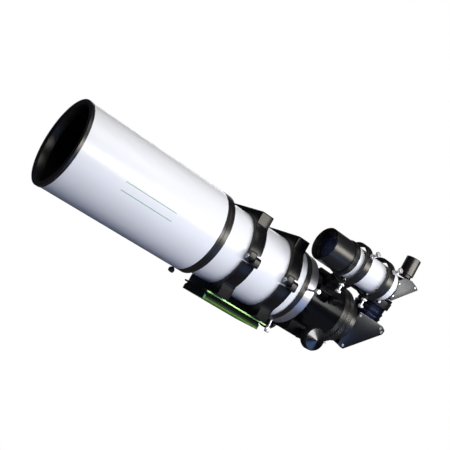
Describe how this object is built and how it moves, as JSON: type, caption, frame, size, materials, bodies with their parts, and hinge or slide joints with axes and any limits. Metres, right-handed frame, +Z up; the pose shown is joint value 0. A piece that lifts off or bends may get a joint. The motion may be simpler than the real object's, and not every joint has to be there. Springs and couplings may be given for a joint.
{
  "type": "refractor telescope",
  "caption": "Refractor telescope with retractable dew shield, hinged clamp rings on a dovetail bar, rack focuser, right-angle finder and mirror diagonal.",
  "frame": {"origin": "centre of the dovetail bar's bottom face", "axes": "+X along the optical axis from the front opening to the eyepiece end, +Z up from the bar to the tube, -Y the side with the finder"},
  "size_m": [0.6833, 0.2441, 0.2368],
  "materials": {
    "white_paint": "gloss",
    "green_anodised": "anodised satin",
    "silver_ring": "machined",
    "nickel": "polished",
    "steel": "turned",
    "navy_plate": "anodised satin",
    "dark_body": "anodised satin",
    "grey_plate": "matt painted",
    "brass": "machined",
    "lens_glass": "polished, coated",
    "mirror_face": "polished",
    "black_anodised": "anodised satin"
  },
  "bodies": {
    "telescope_tube": {"main_tube": "white_paint", "lens_cell": "black_anodised", "lens_retainer": "black_anodised", "lens_front": "lens_glass", "lens_rear": "lens_glass", "tube_baffle": "black_anodised", "tube_collar": "black_anodised", "rotator_ring": "silver_ring", "dovetail_bar": "green_anodised", "ring_front_lower": "black_anodised", "ring_rear_lower": "black_anodised", "hinge_pin_front": "steel", "hinge_pin_rear": "steel"},
    "dew_shield": {"dew_shield": "white_paint", "dew_shield_rim": "black_anodised", "dew_shield_collar": "black_anodised"},
    "dew_shield_lock": {"dew_shield_lock_screw": "black_anodised"},
    "ring_front_upper": {"ring_front_upper": "black_anodised"},
    "ring_rear_upper": {"ring_rear_upper": "black_anodised"},
    "clamp_knob_front": {"clamp_knob_front": "black_anodised"},
    "clamp_knob_rear": {"clamp_knob_rear": "black_anodised"},
    "rotator_screw_near": {"rotator_screw_near": "nickel"},
    "rotator_screw_upper": {"rotator_screw_upper": "nickel"},
    "rotator_screw_lower": {"rotator_screw_lower": "nickel"},
    "focuser": {"focuser_body": "black_anodised", "pinion_housing": "black_anodised", "finder_shoe": "black_anodised"},
    "drawtube": {"drawtube": "black_anodised", "focus_rack": "brass", "visual_back": "black_anodised"},
    "focus_shaft": {"pinion_shaft": "steel", "focus_knob_near": "black_anodised", "focus_knob_far": "black_anodised"},
    "fine_focus_knob": {"fine_focus_knob": "silver_ring"},
    "knurled_ring": {"knurled_ring": "black_anodised"},
    "visual_back_screw": {"visual_back_screw": "nickel"},
    "diagonal": {"diagonal_nosepiece": "nickel", "diagonal_body": "dark_body", "diagonal_plate_near": "navy_plate", "diagonal_plate_far": "navy_plate", "diagonal_mirror": "mirror_face", "eyepiece_holder": "dark_body", "holder_ring": "black_anodised"},
    "finder_shoe_knob": {"finder_shoe_knob": "black_anodised"},
    "finder": {"finder_bracket": "black_anodised", "finder_tube": "white_paint", "finder_prism_housing": "grey_plate", "finder_prism": "lens_glass"},
    "finder_dew_shield": {"finder_dew_shield": "black_anodised", "finder_lens": "lens_glass"},
    "finder_lock_ring": {"finder_lock_ring": "black_anodised"},
    "finder_eyepiece": {"finder_eyepiece": "black_anodised"},
    "holder_screw_front": {"holder_screw_front": "nickel"},
    "holder_screw_near": {"holder_screw_near": "nickel"},
    "finder_screw_front_near": {"finder_screw_front_near": "nickel"},
    "finder_screw_front_far": {"finder_screw_front_far": "nickel"},
    "finder_screw_front_lower": {"finder_screw_front_lower": "nickel"},
    "finder_screw_rear_near": {"finder_screw_rear_near": "nickel"},
    "finder_screw_rear_far": {"finder_screw_rear_far": "nickel"},
    "finder_screw_rear_lower": {"finder_screw_rear_lower": "nickel"}
  },
  "joints": [
    {"name": "dew_shield_slide", "type": "slide", "parent": "telescope_tube", "child": "dew_shield", "axis": [1, 0, 0], "range_m": [0, 0.031]},
    {"name": "dew_shield_lock_turn", "type": "hinge", "parent": "dew_shield", "child": "dew_shield_lock", "pos_m": [-0.1035, 0, 0.0918], "axis": [0, 0.2588, -0.9659], "range_deg": [-720, 0]},
    {"name": "ring_front_open", "type": "hinge", "parent": "telescope_tube", "child": "ring_front_upper", "pos_m": [-0.0373, -0.0735, 0.0908], "axis": [1, 0, 0], "range_deg": [0, 100]},
    {"name": "clamp_knob_front_turn", "type": "hinge", "parent": "ring_front_upper", "child": "clamp_knob_front", "pos_m": [-0.0373, 0.082, 0.0918], "axis": [0, 0, 1], "range_deg": [0, 1440]},
    {"name": "ring_rear_open", "type": "hinge", "parent": "telescope_tube", "child": "ring_rear_upper", "pos_m": [0.0477, -0.0735, 0.0908], "axis": [1, 0, 0], "range_deg": [0, 13]},
    {"name": "clamp_knob_rear_turn", "type": "hinge", "parent": "ring_rear_upper", "child": "clamp_knob_rear", "pos_m": [0.0477, 0.082, 0.0918], "axis": [0, 0, 1], "range_deg": [0, 1440]},
    {"name": "rotator_screw_near_turn", "type": "hinge", "parent": "telescope_tube", "child": "rotator_screw_near", "pos_m": [0.097, 0, 0.0918], "axis": [0, -0.9925, 0.1219], "range_deg": [0, 720]},
    {"name": "rotator_screw_upper_turn", "type": "hinge", "parent": "telescope_tube", "child": "rotator_screw_upper", "pos_m": [0.097, 0, 0.0918], "axis": [0, 0.788, 0.6157], "range_deg": [0, 720]},
    {"name": "rotator_screw_lower_turn", "type": "hinge", "parent": "telescope_tube", "child": "rotator_screw_lower", "pos_m": [0.097, 0, 0.0918], "axis": [0, -0.1219, -0.9925], "range_deg": [0, 720]},
    {"name": "focuser_rotate", "type": "hinge", "parent": "telescope_tube", "child": "focuser", "pos_m": [0.144, 0, 0.0918], "axis": [1, 0, 0], "continuous": true},
    {"name": "drawtube_slide", "type": "slide", "parent": "focuser", "child": "drawtube", "axis": [1, 0, 0], "range_m": [0, 0.08]},
    {"name": "focus_knob_turn", "type": "hinge", "parent": "focuser", "child": "focus_shaft", "pos_m": [0.144, 0, 0.0335], "axis": [0, 1, 0], "range_deg": [0, 764.9]},
    {"name": "fine_focus_turn", "type": "hinge", "parent": "focuser", "child": "fine_focus_knob", "pos_m": [0.144, 0, 0.0335], "axis": [0, 1, 0], "range_deg": [0, 7649.4]},
    {"name": "knurled_ring_turn", "type": "hinge", "parent": "drawtube", "child": "knurled_ring", "pos_m": [0.201, 0, 0.0918], "axis": [1, 0, 0], "continuous": true},
    {"name": "visual_back_screw_turn", "type": "hinge", "parent": "drawtube", "child": "visual_back_screw", "pos_m": [0.227, 0, 0.0918], "axis": [0, 0, -1], "range_deg": [0, 720]},
    {"name": "diagonal_rotate", "type": "hinge", "parent": "drawtube", "child": "diagonal", "pos_m": [0.224, 0, 0.0918], "axis": [1, 0, 0], "continuous": true},
    {"name": "holder_screw_front_turn", "type": "hinge", "parent": "diagonal", "child": "holder_screw_front", "pos_m": [0.272, -0.01244, 0.15763], "axis": [-0.866, 0.4913, 0.0928], "range_deg": [0, 720]},
    {"name": "holder_screw_near_turn", "type": "hinge", "parent": "diagonal", "child": "holder_screw_near", "pos_m": [0.272, -0.01244, 0.15763], "axis": [-0.4226, -0.8905, -0.1683], "range_deg": [0, 720]},
    {"name": "finder_slide", "type": "slide", "parent": "focuser", "child": "finder", "axis": [1, 0, 0], "range_m": [-0.008, 0.012]},
    {"name": "finder_shoe_knob_turn", "type": "hinge", "parent": "focuser", "child": "finder_shoe_knob", "pos_m": [0.149, -0.04743, 0.12756], "axis": [0, -0.602, -0.7985], "range_deg": [-720, 0]},
    {"name": "finder_screw_front_near_turn", "type": "hinge", "parent": "finder", "child": "finder_screw_front_near", "pos_m": [0.11585, -0.104, 0.1702], "axis": [0, -0.866, 0.5], "range_deg": [-720, 0]},
    {"name": "finder_screw_front_far_turn", "type": "hinge", "parent": "finder", "child": "finder_screw_front_far", "pos_m": [0.11585, -0.104, 0.1702], "axis": [0, 0.866, 0.5], "range_deg": [-720, 0]},
    {"name": "finder_screw_front_lower_turn", "type": "hinge", "parent": "finder", "child": "finder_screw_front_lower", "pos_m": [0.11585, -0.104, 0.1702], "axis": [0, 0, -1], "range_deg": [-720, 0]},
    {"name": "finder_screw_rear_near_turn", "type": "hinge", "parent": "finder", "child": "finder_screw_rear_near", "pos_m": [0.1722, -0.104, 0.1702], "axis": [0, -0.866, 0.5], "range_deg": [-720, 0]},
    {"name": "finder_screw_rear_far_turn", "type": "hinge", "parent": "finder", "child": "finder_screw_rear_far", "pos_m": [0.1722, -0.104, 0.1702], "axis": [0, 0.866, 0.5], "range_deg": [-720, 0]},
    {"name": "finder_screw_rear_lower_turn", "type": "hinge", "parent": "finder", "child": "finder_screw_rear_lower", "pos_m": [0.1722, -0.104, 0.1702], "axis": [0, 0, -1], "range_deg": [-720, 0]},
    {"name": "finder_focus_turn", "type": "hinge", "parent": "finder", "child": "finder_dew_shield", "pos_m": [0.064, -0.104, 0.1702], "axis": [1, 0, 0], "range_deg": [-360, 0]},
    {"name": "finder_lock_ring_turn", "type": "hinge", "parent": "finder", "child": "finder_lock_ring", "pos_m": [0.094, -0.104, 0.1702], "axis": [1, 0, 0], "range_deg": [-360, 0]},
    {"name": "finder_eyepiece_turn", "type": "hinge", "parent": "finder", "child": "finder_eyepiece", "pos_m": [0.227, -0.104, 0.2118], "axis": [0, 0, 1], "range_deg": [-360, 360]}
  ],
  "couplings": [
    {"joint": "focus_knob_turn", "follows": "drawtube_slide", "rad_per_m": 166.67},
    {"joint": "fine_focus_turn", "follows": "drawtube_slide", "rad_per_m": 1666.7}
  ]
}
